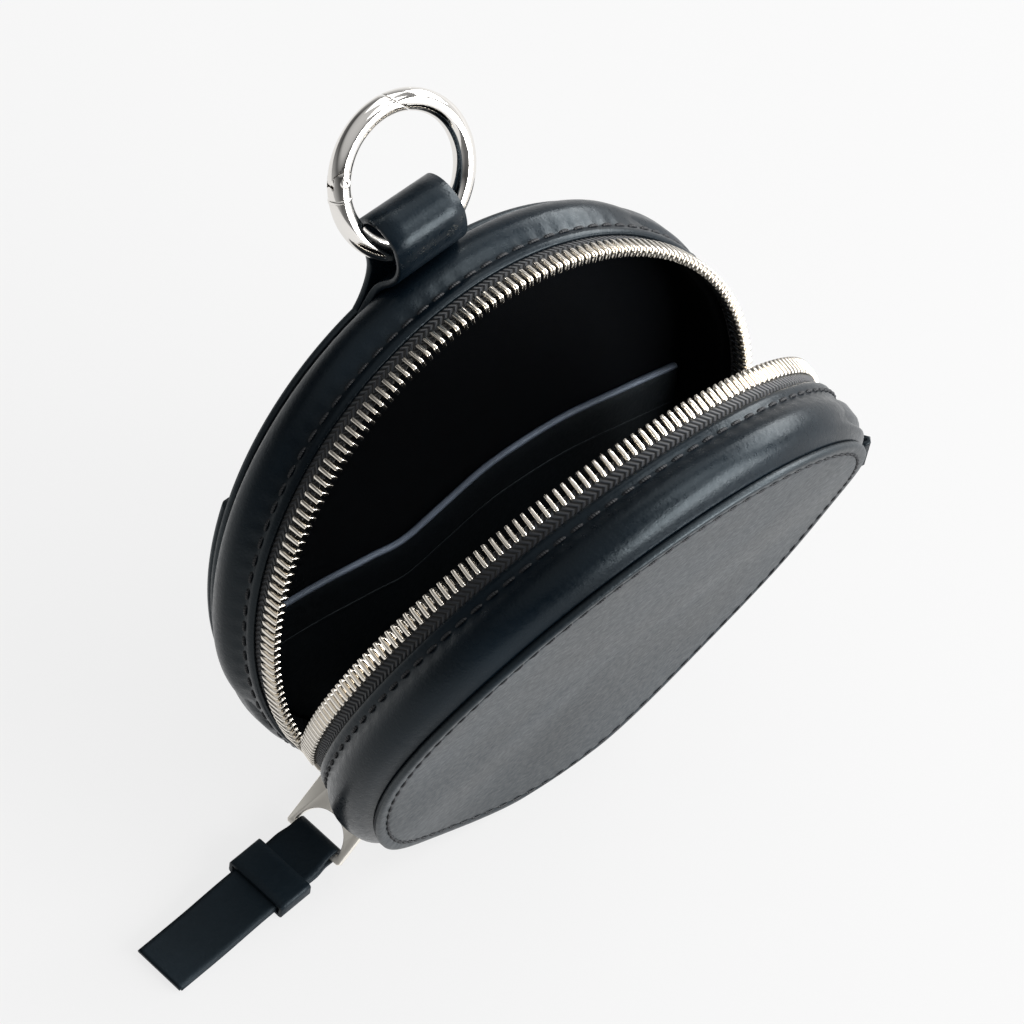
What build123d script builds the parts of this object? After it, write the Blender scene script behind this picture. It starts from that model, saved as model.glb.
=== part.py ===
from build123d import *
import os
from math import asin, atan2, cos, degrees, radians, sin, sqrt, tan

# Round zipped coin purse, standing half open on a floor.
# Row frame: millimetres, +Z up, +X along the hinge line, +Y towards the back half.
# The origin is on the floor, midway between the two halves, under the hinge line.
#
# Each half is first drawn closed, in a disc frame: the disc's centre is the origin,
# +Y is the thickness direction and y = 0 is the plane where the two rows of zip teeth meet.
# "place_back" and "place_front" then lean the halves apart about the hinge line.

# ---- driving dimensions -------------------------------------------------------------------
HINGE_DROP = 22.0       # hinge line below the disc centre
LEAN = 12.67            # lean of each half away from upright, degrees
LEAN_MAX = 17.0         # room is cut between the base and the halves for this much lean
HINGE_Z = 39.3          # height of the hinge line above the floor

PANEL_R = 57.7          # round outer panels
PANEL_IN_Y = 18.9
PANEL_OUT_Y = 20.5
POCKET_TOP_Z = 25.3     # straight top edge of the outer slip pocket on the back
POCKET_THICK = 1.3
BOARD_R = 56.0          # stiffening boards behind the panels
BOARD_Y = (18.0, 18.85)
LINING_R = 56.2         # lining cups inside each half
LINING_THICK = 0.5
LINING_Y = 17.4
LINING_START_Y = 6.6
INNER_POCKET_R = 55.4   # slip pocket inside the back half
INNER_POCKET_Y = (15.9, 17.3)
POCKET_EDGE = [(-60, -3.0), (-40, -3.0), (-24, -4.4), (-16, -5.2), (-7, -2.9), (4, -0.1), (14, 0.45),
               (25, -0.2), (38, -2.6), (50, -4.9), (60, -7.0)]     # its top edge, (x, z) on the disc

TAPE_R = (57.5, 58.1)   # woven zip tape
TAPE_Y = (3.55, 9.5)
TOOTH_R = (56.9, 59.1)
TOOTH_Y = (0.45, 3.5)
TOOTH_WIDE = 0.95
TOOTH_PITCH_DEG = 1.70
ROW_LEFT_DEG = 201.0    # each half's row runs over the top between these angles
ROW_RIGHT_DEG = -21.0
STOP_DEG = 1.2

LOWER_CHAIN_DEG = (203.6, 240.0)   # the zip's lower stretch, held between the halves
LOWER_TAPE_Y = 4.1
SKIN_R = (53.4, 54.6)              # leather base between the halves
SKIN_HALF_DEG = 13.2
SKIN_HALF_X = 46.0

SLIDER_DEG = (228.4, 237.8)
SLIDER_HALF_Y = 3.9
SLIDER_OUTER_R = (60.0, 61.2)
SLIDER_INNER_R = (55.0, 56.2)
BRIDGE_DEG = (228.6, 237.6)
BRIDGE_POST_DEG = 0.8
BRIDGE_HALF_Y = 0.8
BRIDGE_BAR_R = (63.2, 64.2)
PIVOT_DEG = 233.0
PIVOT_R = 62.25

PLATE_YAW = 5.6         # slack turn of the pull about the vertical
PLATE_THICK = 1.5
PLATE_HALF_W = 7.1
EYE_HALF_W = 3.2
HOLE_R = 5.6            # round side of the D-shaped hole in the pull
EYE_SLOT = (0.6, 5.3, 1.3)        # slot for the bridge: start, end, half width
BAR_HALF = 0.75
BAR_X = -48.9           # where the pull's lower bar rests, just above the floor
BAR_Z = 2.05
STRAP_HALF_W = 5.8
STRAP_LAYER = 0.9
STRAP_END_X = -90.2
STRAP_Z = (0.95, 2.8)
KEEPER_X = (-64.8, -56.5)
KEEPER_HALF_W = 7.15
KEEPER_THICK = 0.9

LOOP_DEG = 97.0         # hanging loop at the top of the back half
LOOP_HALF_W = 8.0
LOOP_THICK = 1.4
LOOP_TOP = (15.3, 70.9, 6.0)      # upper roll: y, radius from the disc centre, outer radius
LOOP_FOOT = (15.3, 66.3, 4.8)     # lower roll
LOOP_TAB_Y = (17.6, 18.75)
LOOP_TAB_LOW = 53.0

RING_CENTRE = (-7.1, 19.5, 78.8)
RING_R = 13.6
RING_WIRE_R = 2.1
RING_LEAN = 19.6        # ring plane against the back half's plane, degrees
GATE_PIN_DEG = 157.0
GATE_NOSE_DEG = 79.0
GATE_PIN_R = 0.55
EAR_R = 1.95
TONGUE_HALF = 0.92

TAB_SIZE = (21.0, 8.0, 2.6)       # free part of the leather tab at the zip's right end
TAB_ROOT = (54.2, 0.0, -25.5)
TAB_STRAIGHT = 6.0      # stretch held between the halves, before it turns outwards
TAB_TURN = 38.0
TAB_RISE = 12.0

HALF_OPEN = radians(LEAN_MAX + 0.3)


# ---- helpers --------------------------------------------------------------------------------
def revolved(profile, high_deg, low_deg):
    """Turn a face drawn as (radius, y) about the disc's Y axis, between two angles in the disc plane."""
    return revolve(Rot(0, -high_deg, 0) * profile, Axis.Y, revolution_arc=high_deg - low_deg)


def arc_block(radii, ys, high_deg, low_deg):
    """Curved bar with a rectangular section, concentric with the disc."""
    section = make_face(Polyline((radii[0], ys[0]), (radii[1], ys[0]), (radii[1], ys[1]), (radii[0], ys[1]),
                                 (radii[0], ys[0])))
    return revolved(section, high_deg, low_deg)


def disc(radius, low_y, high_y):
    return Pos(0, (low_y + high_y) / 2, 0) * Rot(90, 0, 0) * Cylinder(radius, high_y - low_y)


def slab(low, high):
    """Box between two corners."""
    size = [b - a for a, b in zip(low, high)]
    middle = [(a + b) / 2 for a, b in zip(low, high)]
    return Pos(*middle) * Box(*size)


def prism_x(points, low_x, high_x):
    """Solid with a (y, z) outline, along X."""
    face = make_face(Polyline(*[(low_x, y, z) for y, z in points + points[:1]]))
    return extrude(face, high_x - low_x, dir=(1, 0, 0))


def at_angle(deg, radius, y=0.0):
    """Place a thing on the disc: its own +Z points outwards and +X along the rim."""
    return Pos(radius * cos(radians(deg)), y, radius * sin(radians(deg))) * Rot(0, 90 - deg, 0)


def place_back(shape):
    return Pos(0, 0, HINGE_Z) * Rot(-LEAN, 0, 0) * Pos(0, 0, HINGE_DROP) * shape


def place_front(shape):
    return Pos(0, 0, HINGE_Z) * Rot(LEAN, 0, 0) * Pos(0, 0, HINGE_DROP) * shape


def place_middle(shape):
    return Pos(0, 0, HINGE_Z + HINGE_DROP) * shape


def to_front(shape):
    """The front half is the back half's mirror image in the closed plane."""
    return mirror(shape, about=Plane.XZ)


# ---- what keeps the two halves apart below the hinge ------------------------------------------
def below_hinge_gap():
    """Wedge that no wall of a half may enter, so the halves still clear each other fully open."""
    deep, slope = 60.0, tan(HALF_OPEN)
    start = 0.25
    points = [(-1, -HINGE_DROP + 0.5), (start, -HINGE_DROP + 0.5), (start + slope * deep, -HINGE_DROP - deep),
              (-1, -HINGE_DROP - deep)]
    return prism_x(points, -80, 80)


def slider_gap():
    """Deeper notch on the left, where the slider waits between the halves."""
    deep, slope = 60.0, tan(HALF_OPEN)
    start = (LOWER_TAPE_Y + 0.15) / cos(HALF_OPEN)
    points = [(-1, -HINGE_DROP + 0.5), (start, -HINGE_DROP + 0.5), (start + slope * deep, -HINGE_DROP - deep),
              (-1, -HINGE_DROP - deep)]
    return prism_x(points, -80, -26.5)


def under_floor(lift):
    """Everything below the floor, seen from the back half's disc frame."""
    block = Pos(0, 0, lift - 50) * Box(300, 300, 100)
    return Pos(0, 0, -HINGE_DROP) * Rot(LEAN, 0, 0) * Pos(0, 0, -HINGE_Z) * block


# ---- one half -------------------------------------------------------------------------------
def gusset():
    """Puffy side wall: turned edge beside the zip, a rounded swell, and a groove at the panel."""
    outer_line = Spline((59.2, 6.6), (59.5, 8.4), (61.4, 12.2), (60.2, 15.6), (57.7, 17.6))
    inner_line = Spline((58.3, 8.0), (60.2, 12.2), (58.8, 15.0), (56.5, 17.2))
    outer_edges = [outer_line, Line((57.7, 17.6), (57.4, PANEL_IN_Y))]
    inner_edges = [inner_line, Line((56.5, 17.2), (56.3, PANEL_IN_Y))]
    hub = 30.0
    lip = [Line((59.2, 6.6), (58.9, 6.2)), Line((58.9, 6.2), (58.25, 6.2)), Line((58.25, 6.2), (58.3, 8.0))]
    outer_face = make_face(outer_edges + [Line((57.4, PANEL_IN_Y), (hub, PANEL_IN_Y)),
                                          Line((hub, PANEL_IN_Y), (hub, 6.2)), Line((hub, 6.2), (58.25, 6.2)),
                                          Line((58.25, 6.2), (58.9, 6.2)), lip[0]])
    inner_face = make_face(inner_edges + [Line((56.3, PANEL_IN_Y), (hub - 1, PANEL_IN_Y)),
                                          Line((hub - 1, PANEL_IN_Y), (hub - 1, 6.2)),
                                          Line((hub - 1, 6.2), (58.25, 6.2)), lip[2]])
    outer_body = revolve(outer_face, Axis.Y) - under_floor(0.0)
    inner_body = revolve(inner_face, Axis.Y) - under_floor(1.2)
    return outer_body - inner_body - below_hinge_gap() - slider_gap()


def lining():
    back = disc(LINING_R, LINING_Y, LINING_Y + LINING_THICK)
    wall = disc(LINING_R, LINING_START_Y, LINING_Y) - disc(LINING_R - LINING_THICK, 0, LINING_Y)
    return back + (wall - below_hinge_gap() - slider_gap())


def tape():
    return arc_block(TAPE_R, TAPE_Y, ROW_LEFT_DEG, ROW_RIGHT_DEG)


def tooth(deg, side):
    middle_y = side * (TOOTH_Y[0] + TOOTH_Y[1]) / 2
    block = Box(TOOTH_WIDE, TOOTH_Y[1] - TOOTH_Y[0], TOOTH_R[1] - TOOTH_R[0])
    return at_angle(deg, (TOOTH_R[0] + TOOTH_R[1]) / 2, middle_y) * block


def tooth_row(high_deg, low_deg, side):
    """Teeth at an even pitch. The two rows are half a pitch apart, so that they mesh."""
    shift = TOOTH_PITCH_DEG / 2 if side < 0 else 0.0
    count = int((high_deg - low_deg - shift) / TOOTH_PITCH_DEG)
    return [tooth(high_deg - shift - (i + 0.5) * TOOTH_PITCH_DEG, side) for i in range(count)]


def top_stop(side):
    block = arc_block((TOOTH_R[0] - 0.2, TOOTH_R[1] + 0.2), TOOTH_Y, ROW_RIGHT_DEG + STOP_DEG, ROW_RIGHT_DEG)
    return block if side > 0 else to_front(block)


def panel():
    body = disc(PANEL_R, PANEL_IN_Y, PANEL_OUT_Y)
    rims = [e for e in body.edges().filter_by(GeomType.CIRCLE) if e.center().Y > PANEL_OUT_Y - 0.1]
    return fillet(rims, 0.35)


def outer_pocket():
    body = disc(PANEL_R - 0.3, PANEL_OUT_Y, PANEL_OUT_Y + POCKET_THICK)
    return (body & slab((-90, 0, -90), (90, 40, POCKET_TOP_Z))) - under_floor(0.05)


def inner_pocket():
    """Leather slip pocket whose top edge is a shallow S."""
    body = disc(INNER_POCKET_R, *INNER_POCKET_Y)
    edge = Spline(*POCKET_EDGE)
    (left, left_z), (right, right_z) = POCKET_EDGE[0], POCKET_EDGE[-1]
    low = 8 - LINING_R
    region = make_face([edge, Line((right, right_z), (right, low)), Line((right, low), (left, low)),
                        Line((left, low), (left, left_z))])
    cutter = extrude(Plane.XZ * region, 40, dir=(0, 1, 0))
    return body & cutter


def loop_tab_room():
    """Room for the loop's tab between the wall, the board and the panel."""
    low_corner = (-LOOP_HALF_W - 0.05, LOOP_TAB_Y[0] - 0.03, LOOP_TAB_LOW - 0.05)
    block = slab(low_corner, (LOOP_HALF_W + 0.05, PANEL_IN_Y, 66))
    return Rot(0, 90 - LOOP_DEG, 0) * block


def hanging_loop():
    """Leather strip folded over the ring: a roll with an open tunnel, and a tab sewn in under the panel."""
    def egg(inset):
        top_y, top_r, top_out = LOOP_TOP
        foot_y, foot_r, foot_out = LOOP_FOOT
        upper = Pos(top_y, top_r) * Circle(top_out - inset)
        lower = Pos(foot_y, foot_r) * Circle(foot_out - inset)
        drop = top_r - foot_r
        lean_in = asin((top_out - foot_out) / drop)
        c, s = cos(lean_in), sin(lean_in)
        a, b = top_out - inset, foot_out - inset
        sides = Polygon((top_y + a * c, top_r + a * s), (foot_y + b * c, foot_r + b * s),
                        (foot_y - b * c, foot_r + b * s), (top_y - a * c, top_r + a * s), align=None)
        return upper + lower + sides
    tab = Polygon((LOOP_TAB_Y[0], LOOP_TAB_LOW), (LOOP_TAB_Y[1], LOOP_TAB_LOW), (LOOP_TAB_Y[1], 64.0),
                  (LOOP_TAB_Y[0], 64.0), align=None)
    section = (egg(0) + tab) - egg(LOOP_THICK)
    strip = extrude(Plane.YZ * section, LOOP_HALF_W, both=True)
    return Rot(0, 90 - LOOP_DEG, 0) * strip


# ---- spring-gate ring, in the back half's disc frame ------------------------------------------
def ring_place(shape):
    """The ring is drawn in its own XY plane, with +Z along its axis, then stood up and leaned back."""
    return Pos(*RING_CENTRE) * Rot(90 - RING_LEAN, 0, 0) * shape


def ring_point(deg, radius=RING_R):
    return (radius * cos(radians(deg)), radius * sin(radians(deg)), 0)


def ring_sector(from_deg, to_deg):
    """Wedge of the ring's plane between two angles, counter-clockwise."""
    steps = max(2, int((to_deg - from_deg) / 30) + 1)
    angles = [from_deg + (to_deg - from_deg) * i / steps for i in range(steps + 1)]
    points = [(0, 0)] + [(40 * cos(radians(a)), 40 * sin(radians(a))) for a in angles] + [(0, 0)]
    return extrude(make_face(Polyline(*points)), 5, both=True)


def around_pin(radius, half_height=5.0):
    return Pos(*ring_point(GATE_PIN_DEG)) * Cylinder(radius, 2 * half_height)


def nose_side(gap):
    """Half space past the slanted joint where the gate's nose meets the ring."""
    middle = (GATE_NOSE_DEG + GATE_PIN_DEG) / 2
    slant = middle + 180 + 10.0
    return Pos(*ring_point(GATE_NOSE_DEG)) * Rot(0, 0, slant) * Pos(0, 20 + gap, 0) * Box(30, 40, 12)


def gate_room(gap):
    """Stretch of the ring that belongs to the gate, up to the slanted nose joint."""
    return ring_sector(GATE_NOSE_DEG - 20, GATE_PIN_DEG) - nose_side(gap)


def ring_body():
    ears = around_pin(EAR_R) - around_pin(EAR_R + 1, TONGUE_HALF + 0.1)
    fork_gap = around_pin(EAR_R + 0.3, TONGUE_HALF + 0.1)
    spring_bore = spring_place(Cylinder(0.75, 9))
    wire = Torus(RING_R, RING_WIRE_R) - (gate_room(0.12) - ears)
    return wire - fork_gap - around_pin(GATE_PIN_R) - spring_bore


def ring_gate():
    middle_slice = Box(60, 60, 2 * TONGUE_HALF)
    stretch = gate_room(-0.12)
    tongue = (stretch & middle_slice) + around_pin(EAR_R - 0.1, TONGUE_HALF)
    kept = (stretch - around_pin(EAR_R + 0.15)) + tongue
    return (Torus(RING_R, RING_WIRE_R) & kept) - around_pin(GATE_PIN_R + 0.05)


def spring_place(shape):
    """Along the wire, just behind the gate's pin."""
    return Pos(*ring_point(GATE_PIN_DEG + 17)) * Rot(0, 0, GATE_PIN_DEG + 17) * Rot(90, 0, 0) * shape


def gate_pin():
    return around_pin(GATE_PIN_R, 2.0)


def gate_spring():
    return spring_place(Cylinder(0.65, 3.6) - Cylinder(0.35, 3.6))


# ---- slider and pull, in the disc frame between the halves ------------------------------------
def slider_body():
    high, low = SLIDER_DEG[1], SLIDER_DEG[0]
    wide = (-SLIDER_HALF_Y, SLIDER_HALF_Y)
    outer = arc_block(SLIDER_OUTER_R, wide, high, low)
    inner = arc_block(SLIDER_INNER_R, wide, high, low)
    neck = arc_block((SLIDER_INNER_R[1], SLIDER_OUTER_R[0]), (-0.3, 0.3), low + 2.4, low)
    lips = [arc_block((59.4, SLIDER_OUTER_R[0]), ys, high, low) for ys in ((3.2, 3.9), (-3.9, -3.2))]
    return outer + inner + neck + lips[0] + lips[1]


def slider_bridge():
    ys = (-BRIDGE_HALF_Y, BRIDGE_HALF_Y)
    high, low = BRIDGE_DEG[1], BRIDGE_DEG[0]
    bar = arc_block(BRIDGE_BAR_R, ys, high, low)
    post_r = (SLIDER_OUTER_R[1], BRIDGE_BAR_R[0])
    upper_post = arc_block(post_r, ys, high, high - BRIDGE_POST_DEG)
    return bar + upper_post + arc_block(post_r, ys, low + BRIDGE_POST_DEG, low)


def pivot_point():
    a = radians(PIVOT_DEG)
    return (PIVOT_R * cos(a), 0, HINGE_Z + HINGE_DROP + PIVOT_R * sin(a))


def pull_reach():
    """Length and downward slope of the pull, from its pivot to its lower bar, in the row frame."""
    x, _, z = pivot_point()
    run, drop = (x - BAR_X) / cos(radians(PLATE_YAW)), z - BAR_Z
    return sqrt(run * run + drop * drop), degrees(atan2(drop, run))


def pull_plate():
    """Flat pull: slotted eye at the top, D-shaped hole below, and a bar for the strap."""
    length, slope = pull_reach()
    half = PLATE_HALF_W
    outline = Polygon((-0.55, -EYE_HALF_W), (-0.55, EYE_HALF_W), (4.6, half), (length + BAR_HALF, half),
                      (length + BAR_HALF, -half), (4.6, -half), align=None)
    corners = outline.vertices()
    outline = fillet(corners, 0.6)
    bar_edge = length - BAR_HALF
    straight_side = Pos(bar_edge - HOLE_R / 2, 0) * Rectangle(HOLE_R, 2 * HOLE_R)
    hole = (Pos(bar_edge, 0) * Circle(HOLE_R)) & straight_side
    start, end, half_slot = EYE_SLOT
    slot = Pos((start + end) / 2, 0) * Rectangle(end - start, 2 * half_slot)
    plate = extrude(outline - hole - slot, PLATE_THICK / 2, both=True)
    return Pos(*pivot_point()) * Rot(0, 0, 180 + PLATE_YAW) * Rot(0, slope, 0) * plate


def strap_frame():
    """The strap's own frame: at the bar, +X towards the free end, on the floor."""
    x, y, _ = pivot_point()
    run = (x - BAR_X) / cos(radians(PLATE_YAW))
    return Pos(x, y, 0) * Rot(0, 0, 180 + PLATE_YAW) * Pos(run, 0, 0)


def pull_strap():
    """Strip folded round the bar, its two layers lying on each other."""
    r_out, r_in = BAR_Z - 0.02, BAR_Z - 0.02 - STRAP_LAYER
    end = -(STRAP_END_X - BAR_X)
    low, high = STRAP_Z
    outside = Polygon((0, BAR_Z - r_out), (6.5, low), (end, low), (end, high), (6.5, high), (0, BAR_Z + r_out),
                      align=None)
    inside = Polygon((0, BAR_Z - r_in), (6.0, (low + high) / 2), (0, BAR_Z + r_in), align=None)
    section = (outside + Pos(0, BAR_Z) * Circle(r_out)) - inside - Pos(0, BAR_Z) * Circle(r_in)
    strip = extrude(Plane.XZ * section, STRAP_HALF_W, both=True)
    narrow = HOLE_R - 0.45
    sides = slab((-3, narrow, -1), (3.2, 9, 6)) + slab((-3, -9, -1), (3.2, -narrow, 6))
    return strap_frame() * (strip - sides)


def strap_keeper():
    low, high = STRAP_Z
    near, far = -(KEEPER_X[1] - BAR_X), -(KEEPER_X[0] - BAR_X)
    gap = 0.02
    sleeve = slab((near, -KEEPER_HALF_W, low - KEEPER_THICK - gap), (far, KEEPER_HALF_W, high + KEEPER_THICK + gap))
    room = slab((near - 1, -STRAP_HALF_W - 0.15, low - gap), (far + 1, STRAP_HALF_W + 0.15, high + gap))
    return strap_frame() * (sleeve - room)


# ---- what stays between the halves ------------------------------------------------------------
def base_gusset():
    """Leather floor of the purse. It is round about the hinge line, so it stays clear as the halves move."""
    def edge_points(radius):
        return [(x, -sqrt(radius * radius - x * x)) for x in (-SKIN_HALF_X, 0, SKIN_HALF_X)]
    low, high = edge_points(SKIN_R[1]), edge_points(SKIN_R[0])
    outline = make_face([ThreePointArc(*low), Line(low[2], high[2]), ThreePointArc(*reversed(high)),
                         Line(high[0], low[0])])
    hinge = Axis((0, 0, -HINGE_DROP), (1, 0, 0))
    return revolve((Plane.XZ * outline).rotate(hinge, -SKIN_HALF_DEG), hinge, revolution_arc=2 * SKIN_HALF_DEG)


def lower_tape():
    high, low = LOWER_CHAIN_DEG[1], LOWER_CHAIN_DEG[0]
    side = arc_block(TAPE_R, (TAPE_Y[0], LOWER_TAPE_Y), high, low)
    return [side, to_front(side)]


def lower_teeth():
    high, low = LOWER_CHAIN_DEG[1], LOWER_CHAIN_DEG[0]
    return tooth_row(high, low, 1) + tooth_row(high, low, -1)


def bottom_stop():
    high = LOWER_CHAIN_DEG[1] + STOP_DEG
    radii = (TOOTH_R[0] - 0.2, TOOTH_R[1] + 0.2)
    return arc_block(radii, (-TOOTH_Y[1], TOOTH_Y[1]), high + 0.1, high - STOP_DEG + 0.1)


def zip_end_tab():
    """Folded leather tab that closes the zip's right end and sticks out for the fingers."""
    long, wide, thick = TAB_SIZE
    held = Pos(TAB_STRAIGHT / 2, 0, 0) * Box(TAB_STRAIGHT, thick, wide)
    free = Pos(long / 2 - 0.8, 0, 0) * Box(long, thick, wide)
    free = fillet(free.edges().filter_by(Axis.Y).sort_by(Axis.X)[-2:], 1.0)
    bent = Pos(TAB_STRAIGHT, 0, 0) * Rot(0, 0, -TAB_TURN) * Rot(0, -TAB_RISE, 0) * free
    return Pos(*TAB_ROOT) * (held + bent)


# ---- write every piece --------------------------------------------------------------------------
def group(solids):
    return Compound(children=list(solids))


def pieces():
    room = loop_tab_room()
    back_wall, front_wall = gusset() - room, to_front(gusset())
    back = {
        "back_panel": panel(),
        "back_outer_pocket": outer_pocket(),
        "back_board": disc(BOARD_R, *BOARD_Y) - room,
        "back_gusset": back_wall,
        "back_lining": lining() - room,
        "back_inner_pocket": inner_pocket(),
        "back_zip_tape": tape(),
        "back_zip_teeth": group(tooth_row(ROW_LEFT_DEG, ROW_RIGHT_DEG + STOP_DEG, 1)),
        "back_top_stop": top_stop(1),
        "hanging_loop": hanging_loop(),
        "ring_body": ring_place(ring_body()),
        "ring_gate": ring_place(ring_gate()),
        "ring_gate_pin": ring_place(gate_pin()),
        "ring_gate_spring": ring_place(gate_spring()),
    }
    front = {
        "front_panel": to_front(panel()),
        "front_board": to_front(disc(BOARD_R, *BOARD_Y)),
        "front_gusset": front_wall,
        "front_lining": to_front(lining()),
        "front_zip_tape": to_front(tape()),
        "front_zip_teeth": group(tooth_row(ROW_LEFT_DEG, ROW_RIGHT_DEG + STOP_DEG, -1)),
        "front_top_stop": top_stop(-1),
    }
    middle = {
        "base_gusset": base_gusset(),
        "lower_zip_tape": group(lower_tape()),
        "lower_zip_teeth": group(lower_teeth()),
        "zip_bottom_stop": bottom_stop(),
        "zip_end_tab": zip_end_tab(),
        "slider_body": slider_body(),
        "slider_bridge": slider_bridge(),
    }
    made = {name: place_back(shape) for name, shape in back.items()}
    made.update({name: place_front(shape) for name, shape in front.items()})
    made.update({name: place_middle(shape) for name, shape in middle.items()})
    made.update({"pull_plate": pull_plate(), "pull_strap": pull_strap(), "strap_keeper": strap_keeper()})
    return made


os.makedirs("parts", exist_ok=True)
for piece_name, piece in pieces().items():
    export_step(piece, f"parts/{piece_name}.step")
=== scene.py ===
import math
import random

import bmesh
import bpy
from mathutils import Matrix, Vector


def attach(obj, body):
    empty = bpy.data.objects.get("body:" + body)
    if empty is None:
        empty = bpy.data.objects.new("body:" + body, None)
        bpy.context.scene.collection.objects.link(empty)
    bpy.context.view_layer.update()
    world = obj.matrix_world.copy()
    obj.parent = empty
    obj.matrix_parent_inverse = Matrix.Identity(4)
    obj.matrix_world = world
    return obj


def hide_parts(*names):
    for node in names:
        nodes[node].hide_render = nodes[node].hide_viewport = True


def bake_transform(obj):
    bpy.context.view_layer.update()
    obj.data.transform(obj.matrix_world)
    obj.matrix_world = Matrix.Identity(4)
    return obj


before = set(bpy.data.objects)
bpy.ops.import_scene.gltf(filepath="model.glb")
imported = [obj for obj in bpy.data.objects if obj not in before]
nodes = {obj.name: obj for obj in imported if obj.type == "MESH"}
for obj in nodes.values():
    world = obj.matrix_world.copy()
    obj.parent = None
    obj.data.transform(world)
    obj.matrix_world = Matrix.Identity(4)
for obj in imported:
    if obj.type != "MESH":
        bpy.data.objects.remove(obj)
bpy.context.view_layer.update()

# ---- sizes repeated from the CAD, in millimetres and degrees ---------------------------------
MM = 0.001
LEAN = math.radians(12.67)
HINGE_Z = 39.3
HINGE_DROP = 22.0
FOLD_Y = 6.2
PANEL_R = 57.7
PANEL_IN_Y, PANEL_OUT_Y = 18.9, 20.5
PANEL_MIDDLE_Y = (PANEL_OUT_Y + PANEL_IN_Y) / 2
ROW_LEFT, ROW_RIGHT = 201.0, -21.0
LOWER_ROW_HIGH, LOWER_ROW_LOW = 240.0, 203.6
TOOTH_ROW_R = 58.0
TOOTH_PITCH_DEG = 1.70
TAPE_START_Y, TAPE_END_Y, LOWER_TAPE_END_Y = 3.2, 9.4, 4.4
SLOT_LEFT_END, SLOT_RIGHT_END = 242.0, -35.0

# ---- sizes of the looks, in millimetres ------------------------------------------------------
STITCH_PITCH = 3.75
STITCHES_ROUND = 97            # dips between stitches, round a panel or a side wall
PANEL_STITCH_INSET = 2.35      # from a panel's rim to its stitches
PANEL_CROWN = 0.5
WALL_SHOULDER_Y = 17.55        # where the side wall turns in towards the panel
MIDDLE_R = 0.05                # tiny ring at a disc's middle, welded by close_middle


# ---- small helpers ---------------------------------------------------------------------------
def smooth(t):
    t = min(1.0, max(0.0, t))
    return t * t * (3 - 2 * t)


def mix(a, b, t):
    return a + (b - a) * t


def half_point(side, r, deg, y):
    """Point of a half given on its disc, as a row frame vector in millimetres. side is 1 back, -1 front."""
    a = math.radians(deg)
    x, z = r * math.cos(a), r * math.sin(a) + HINGE_DROP
    return Vector((x, side * (y * math.cos(LEAN) + z * math.sin(LEAN)),
                   HINGE_Z - y * math.sin(LEAN) + z * math.cos(LEAN)))


def mid_point(x, y, z):
    """Point given in the disc frame between the halves."""
    return Vector((x, y, z + HINGE_Z + HINGE_DROP))


def lift(p, floor=0.0, softness=0.6):
    """Keeps a point above the floor, with a soft turn."""
    d = p.z - floor
    if d > 4 * softness:
        return p
    raised = softness * math.log1p(math.exp(d / softness)) if d > -30 * softness else 0.0
    return Vector((p.x, p.y, floor + raised))


def curve_through(points, count):
    """Even samples on a smooth line through points of any dimension."""
    def at(i):
        return points[min(max(i, 0), len(points) - 1)]
    dense = []
    for i in range(len(points) - 1):
        p0, p1, p2, p3 = at(i - 1), at(i), at(i + 1), at(i + 2)
        for k in range(16):
            t = k / 16
            dense.append(tuple(
                0.5 * (2 * b + (c - a) * t + (2 * a - 5 * b + 4 * c - d) * t * t
                       + (3 * b - a - 3 * c + d) * t ** 3)
                for a, b, c, d in zip(p0, p1, p2, p3)))
    dense.append(tuple(points[-1]))
    lengths = [0.0]
    for a, b in zip(dense, dense[1:]):
        lengths.append(lengths[-1] + math.dist(a, b))
    out, j = [], 0
    for i in range(count):
        want = lengths[-1] * i / (count - 1)
        while j < len(lengths) - 2 and lengths[j + 1] < want:
            j += 1
        span = lengths[j + 1] - lengths[j] or 1.0
        t = (want - lengths[j]) / span
        out.append(tuple(mix(a, b, t) for a, b in zip(dense[j], dense[j + 1])))
    return out


def new_object(name, mesh, material):
    obj = bpy.data.objects.new(name, mesh)
    bpy.context.scene.collection.objects.link(obj)
    mesh.materials.append(material)
    for p in mesh.polygons:
        p.use_smooth = True
    return obj


def grid(name, rows, material, closed_u=False, closed_v=False, cap=False, uv=None):
    """Quads between rows of millimetre points. uv(i, j) gives millimetres along and across."""
    n, m = len(rows), len(rows[0])
    verts = [tuple(c * MM for c in p) for row in rows for p in row]
    faces, corner_uv = [], []
    for i in range(n if closed_u else n - 1):
        for j in range(m if closed_v else m - 1):
            i2, j2 = (i + 1) % n, (j + 1) % m
            faces.append((i * m + j, i * m + j2, i2 * m + j2, i2 * m + j))
            if uv:
                corner_uv += [uv(i, j), uv(i, j + 1), uv(i + 1, j + 1), uv(i + 1, j)]
    if cap:
        faces.append(tuple(range(m))[::-1])
        faces.append(tuple((n - 1) * m + j for j in range(m)))
        if uv:
            corner_uv += [uv(0, j) for j in range(m)][::-1] + [uv(n - 1, j) for j in range(m)]
    mesh = bpy.data.meshes.new(name)
    mesh.from_pydata(verts, [], faces)
    if uv:
        layer = mesh.uv_layers.new(name="UVMap")
        for k, c in enumerate(corner_uv):
            layer.data[k].uv = c
    bm = bmesh.new()
    bm.from_mesh(mesh)
    bmesh.ops.recalc_face_normals(bm, faces=bm.faces)
    bm.to_mesh(mesh)
    bm.free()
    return new_object(name, mesh, material)


def from_bmesh(name, bm, material):
    mesh = bpy.data.meshes.new(name)
    bmesh.ops.recalc_face_normals(bm, faces=bm.faces)
    bm.to_mesh(mesh)
    bm.free()
    return new_object(name, mesh, material)


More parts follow.
